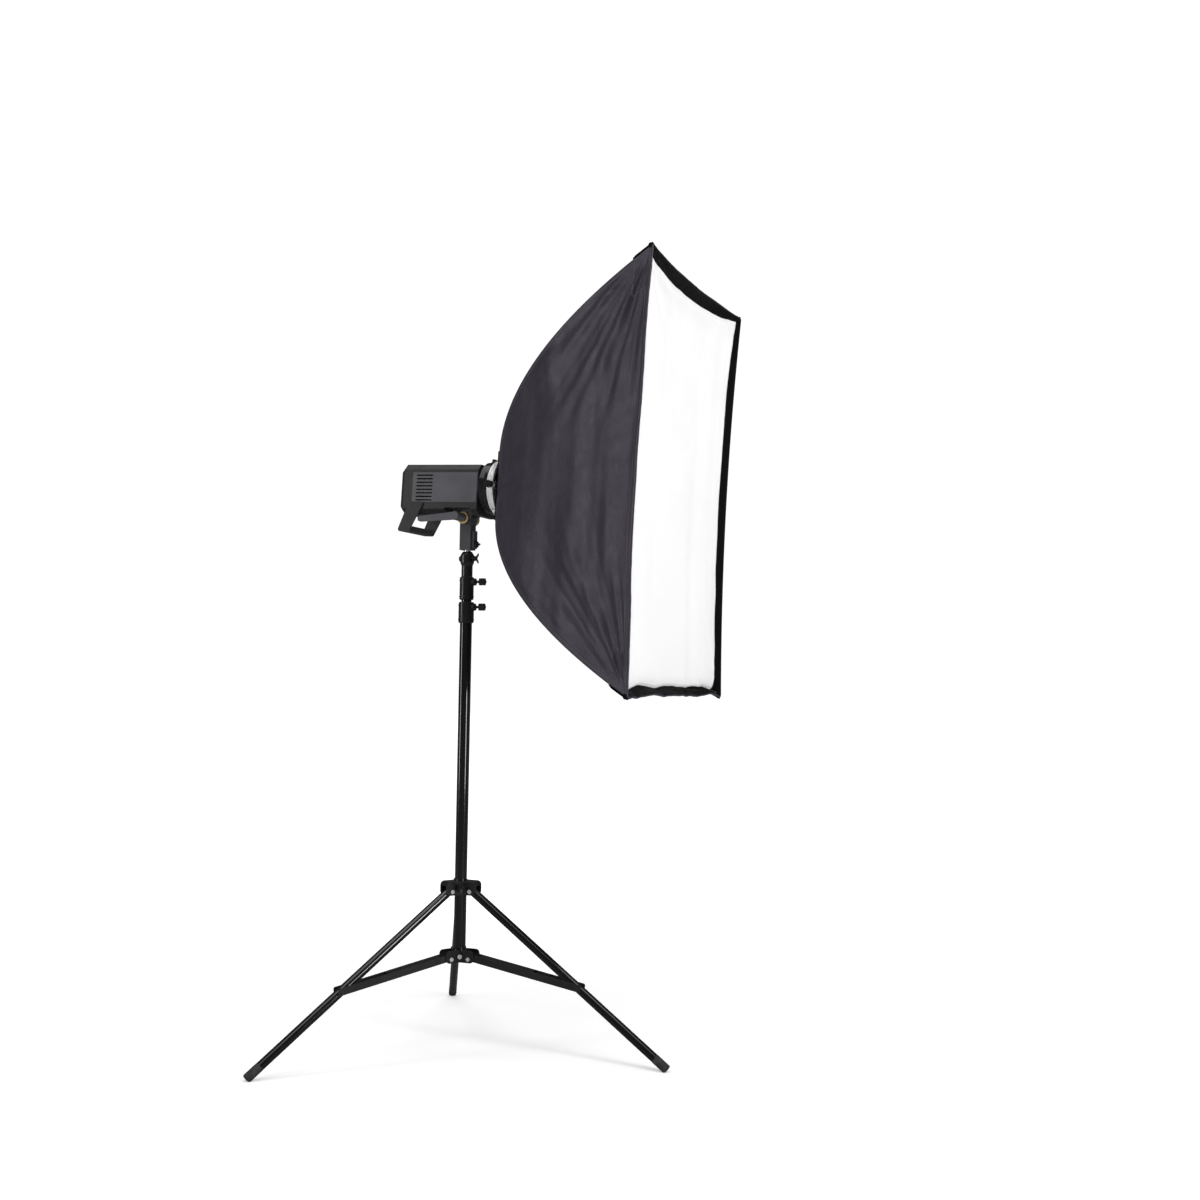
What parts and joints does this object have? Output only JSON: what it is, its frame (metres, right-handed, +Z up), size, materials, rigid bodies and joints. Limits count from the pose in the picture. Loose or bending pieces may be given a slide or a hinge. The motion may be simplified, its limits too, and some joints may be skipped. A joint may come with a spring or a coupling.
{
  "type": "studio softbox",
  "caption": "Rectangular studio softbox on a battery flash head with a tilt bracket, on a telescoping light stand with folding legs.",
  "frame": {"origin": "on the floor under the middle of the outline, with the axis of the stand column 152.4 mm behind it (at x = -0.1524 m)", "axes": "+X the way the softbox faces, +Z up, +Y to the left of the softbox as it faces"},
  "size_m": [0.8338, 0.8984, 1.7187],
  "materials": {
    "black_tube": "gloss",
    "black_metal": "satin",
    "matte_black_metal": "matte",
    "steel": "satin",
    "bright_steel": "polished",
    "grey_metal": "satin",
    "silver": "satin",
    "brass": "polished",
    "black_plastic": "matte",
    "dark_plastic": "matte",
    "grey_plastic": "matte",
    "knob_plastic": "gloss",
    "rubber": "matte",
    "screen_glass": "gloss",
    "lamp_glass": "clear",
    "tube_glass": "clear",
    "lamp_white": "gloss",
    "circuit_green": "matte",
    "rod_fibre": "satin",
    "black_nylon": "ripstop nylon",
    "silver_fabric": "metallised",
    "white_diffusion": "translucent",
    "black_webbing": "woven"
  },
  "bodies": {
    "base": {"base_tube": "black_tube", "lower_collar": "black_metal", "brace_pivot_pins": "steel", "collar_screw": "steel", "lower_clamp": "black_plastic"},
    "leg_collar": {"leg_collar": "black_metal", "leg_pivot_pins": "steel"},
    "collar_knob": {"collar_knob": "black_plastic"},
    "leg_1": {"leg_1": "black_tube", "foot_1": "rubber"},
    "leg_2": {"leg_2": "black_tube", "foot_2": "rubber"},
    "leg_3": {"leg_3": "black_tube", "foot_3": "rubber"},
    "brace_1": {"brace_1": "matte_black_metal"},
    "brace_2": {"brace_2": "matte_black_metal"},
    "brace_3": {"brace_3": "matte_black_metal"},
    "lower_clamp_knob": {"lower_clamp_knob": "black_plastic"},
    "middle_section": {"middle_tube": "black_tube", "upper_clamp": "black_plastic"},
    "upper_clamp_knob": {"upper_clamp_knob": "black_plastic"},
    "top_section": {"top_tube": "black_tube", "spigot_head": "black_metal", "spigot": "bright_steel"},
    "hub_wing_screw": {"hub_wing_screw": "black_plastic"},
    "bracket": {"tilt_bracket": "grey_metal"},
    "receiver_knob": {"receiver_knob": "black_plastic"},
    "head": {"tilt_bolt": "black_metal", "tilt_washers": "brass", "tilt_lug": "grey_metal", "strobe_shell": "dark_plastic", "side_panels": "grey_plastic", "rear_cover": "dark_plastic", "screen": "screen_glass", "grip_handle": "dark_plastic", "front_barrel": "knob_plastic", "flash_tube": "tube_glass", "modelling_lamp": "lamp_white", "glass_dome": "lamp_glass", "battery_pack": "black_plastic", "flash_electronics": "circuit_green", "fan_frame": "black_plastic", "speedring_insert": "silver"},
    "tilt_lever": {"tilt_lever": "grey_plastic"},
    "control_dial": {"control_dial": "black_plastic"},
    "button_left": {"button_left": "rubber"},
    "button_right": {"button_right": "rubber"},
    "mount_release": {"mount_release": "black_plastic"},
    "fan_rotor": {"fan_rotor": "black_plastic"},
    "softbox": {"speedring": "silver", "outer_shell": "black_nylon", "inner_lining": "silver_fabric", "front_diffuser": "white_diffusion", "inner_baffle": "white_diffusion", "front_lip": "black_webbing"},
    "speedring_knob": {"speedring_knob": "knob_plastic"},
    "rod_top_left": {"rod_top_left": "rod_fibre"},
    "rod_top_right": {"rod_top_right": "rod_fibre"},
    "rod_bottom_left": {"rod_bottom_left": "rod_fibre"},
    "rod_bottom_right": {"rod_bottom_right": "rod_fibre"}
  },
  "joints": [
    {"name": "leg_collar_slide", "type": "slide", "parent": "base", "child": "leg_collar", "axis": [0, 0, 1], "range_m": [0, 0.45883]},
    {"name": "leg_1_hinge", "type": "hinge", "parent": "leg_collar", "child": "leg_1", "pos_m": [-0.1214, 0, 0.3526], "axis": [0, 1, 0], "range_deg": [0, 54.11]},
    {"name": "leg_2_hinge", "type": "hinge", "parent": "leg_collar", "child": "leg_2", "pos_m": [-0.1679, 0.02685, 0.3526], "axis": [-0.866, -0.5, 0], "range_deg": [0, 54.11]},
    {"name": "leg_3_hinge", "type": "hinge", "parent": "leg_collar", "child": "leg_3", "pos_m": [-0.1679, -0.02685, 0.3526], "axis": [0.866, -0.5, 0], "range_deg": [0, 54.11]},
    {"name": "brace_1_hinge", "type": "hinge", "parent": "base", "child": "brace_1", "pos_m": [-0.1214, 0, 0.1997], "axis": [0, -1, 0], "range_deg": [0, 99.22]},
    {"name": "brace_2_hinge", "type": "hinge", "parent": "base", "child": "brace_2", "pos_m": [-0.1679, 0.02685, 0.1997], "axis": [0.866, 0.5, 0], "range_deg": [0, 99.22]},
    {"name": "brace_3_hinge", "type": "hinge", "parent": "base", "child": "brace_3", "pos_m": [-0.1679, -0.02685, 0.1997], "axis": [-0.866, 0.5, 0], "range_deg": [0, 99.22]},
    {"name": "collar_knob_turn", "type": "hinge", "parent": "leg_collar", "child": "collar_knob", "pos_m": [-0.1374, -0.02598, 0.361], "axis": [0.5, -0.866, 0], "range_deg": [0, 360]},
    {"name": "lower_clamp_knob_turn", "type": "hinge", "parent": "base", "child": "lower_clamp_knob", "pos_m": [-0.1224, 0, 1.008], "axis": [1, 0, 0], "range_deg": [0, 360]},
    {"name": "middle_section_slide", "type": "slide", "parent": "base", "child": "middle_section", "axis": [0, 0, 1], "range_m": [0, 0.62]},
    {"name": "upper_clamp_knob_turn", "type": "hinge", "parent": "middle_section", "child": "upper_clamp_knob", "pos_m": [-0.1224, 0, 1.067], "axis": [1, 0, 0], "range_deg": [0, 360]},
    {"name": "top_section_slide", "type": "slide", "parent": "middle_section", "child": "top_section", "axis": [0, 0, 1], "range_m": [0, 0.62]},
    {"name": "hub_wing_screw_turn", "type": "hinge", "parent": "top_section", "child": "hub_wing_screw", "pos_m": [-0.1324, 0, 1.122], "axis": [1, 0, 0], "range_deg": [0, 360]},
    {"name": "bracket_swivel", "type": "hinge", "parent": "top_section", "child": "bracket", "pos_m": [-0.1524, 0, 1.15], "axis": [0, 0, 1], "continuous": true},
    {"name": "receiver_knob_turn", "type": "hinge", "parent": "bracket", "child": "receiver_knob", "pos_m": [-0.1304, 0, 1.155], "axis": [1, 0, 0], "range_deg": [0, 360]},
    {"name": "head_tilt", "type": "hinge", "parent": "bracket", "child": "head", "pos_m": [-0.1524, 0, 1.216], "axis": [0, 1, 0], "range_deg": [-50, 30]},
    {"name": "tilt_lever_turn", "type": "hinge", "parent": "head", "child": "tilt_lever", "pos_m": [-0.1524, -0.05, 1.216], "axis": [0, 1, 0], "range_deg": [-45, 60]},
    {"name": "control_dial_turn", "type": "hinge", "parent": "head", "child": "control_dial", "pos_m": [-0.31533, 0, 1.26373], "axis": [0.9989, 0, -0.0471], "continuous": true},
    {"name": "button_left_press", "type": "slide", "parent": "head", "child": "button_left", "axis": [0.9989, 0, -0.0471], "range_m": [0, 0.001], "stiffness_N_per_m": 800, "springref_m": -0.0005},
    {"name": "button_right_press", "type": "slide", "parent": "head", "child": "button_right", "axis": [0.9989, 0, -0.0471], "range_m": [0, 0.001], "stiffness_N_per_m": 800, "springref_m": -0.0005},
    {"name": "mount_release_slide", "type": "slide", "parent": "head", "child": "mount_release", "axis": [-0.9989, 0, 0.0471], "range_m": [0, 0.0018], "stiffness_N_per_m": 600, "springref_m": -0.001},
    {"name": "fan_spin", "type": "hinge", "parent": "head", "child": "fan_rotor", "pos_m": [-0.25268, 0, 1.29741], "axis": [0.9989, 0, -0.0471], "continuous": true},
    {"name": "speedring_spin", "type": "hinge", "parent": "head", "child": "softbox", "pos_m": [-0.0641, 0, 1.28392], "axis": [0.9989, 0, -0.0471], "continuous": true},
    {"name": "speedring_knob_turn", "type": "hinge", "parent": "softbox", "child": "speedring_knob", "pos_m": [-0.05711, -0.075, 1.28359], "axis": [0, -1, 0], "range_deg": [0, 360]},
    {"name": "rod_fold", "type": "hinge", "parent": "softbox", "child": "rod_top_left", "pos_m": [-0.04938, 0.037, 1.34129], "axis": [0, 1, 0], "range_deg": [0, 44], "deforming": ["outer_shell", "inner_lining", "front_diffuser", "inner_baffle", "front_lip"]},
    {"name": "rod_top_right_hinge", "type": "hinge", "parent": "softbox", "child": "rod_top_right", "pos_m": [-0.04938, -0.037, 1.34129], "axis": [0, 1, 0], "range_deg": [0, 44.01]},
    {"name": "rod_bottom_left_hinge", "type": "hinge", "parent": "softbox", "child": "rod_bottom_left", "pos_m": [-0.05485, 0.037, 1.22541], "axis": [0, -1, 0], "range_deg": [0, 44.01]},
    {"name": "rod_bottom_right_hinge", "type": "hinge", "parent": "softbox", "child": "rod_bottom_right", "pos_m": [-0.05485, -0.037, 1.22541], "axis": [0, -1, 0], "range_deg": [0, 44.01]}
  ],
  "couplings": [
    {"joint": "leg_1_hinge", "follows": "leg_collar_slide", "rad_per_m": 2.0579},
    {"joint": "leg_2_hinge", "follows": "leg_collar_slide", "rad_per_m": 2.0579},
    {"joint": "leg_3_hinge", "follows": "leg_collar_slide", "rad_per_m": 2.0579},
    {"joint": "brace_1_hinge", "follows": "leg_collar_slide", "rad_per_m": 3.7738},
    {"joint": "brace_2_hinge", "follows": "leg_collar_slide", "rad_per_m": 3.7738},
    {"joint": "brace_3_hinge", "follows": "leg_collar_slide", "rad_per_m": 3.7738},
    {"joint": "rod_top_right_hinge", "follows": "rod_fold", "ratio": 1},
    {"joint": "rod_bottom_left_hinge", "follows": "rod_fold", "ratio": 1},
    {"joint": "rod_bottom_right_hinge", "follows": "rod_fold", "ratio": 1}
  ]
}
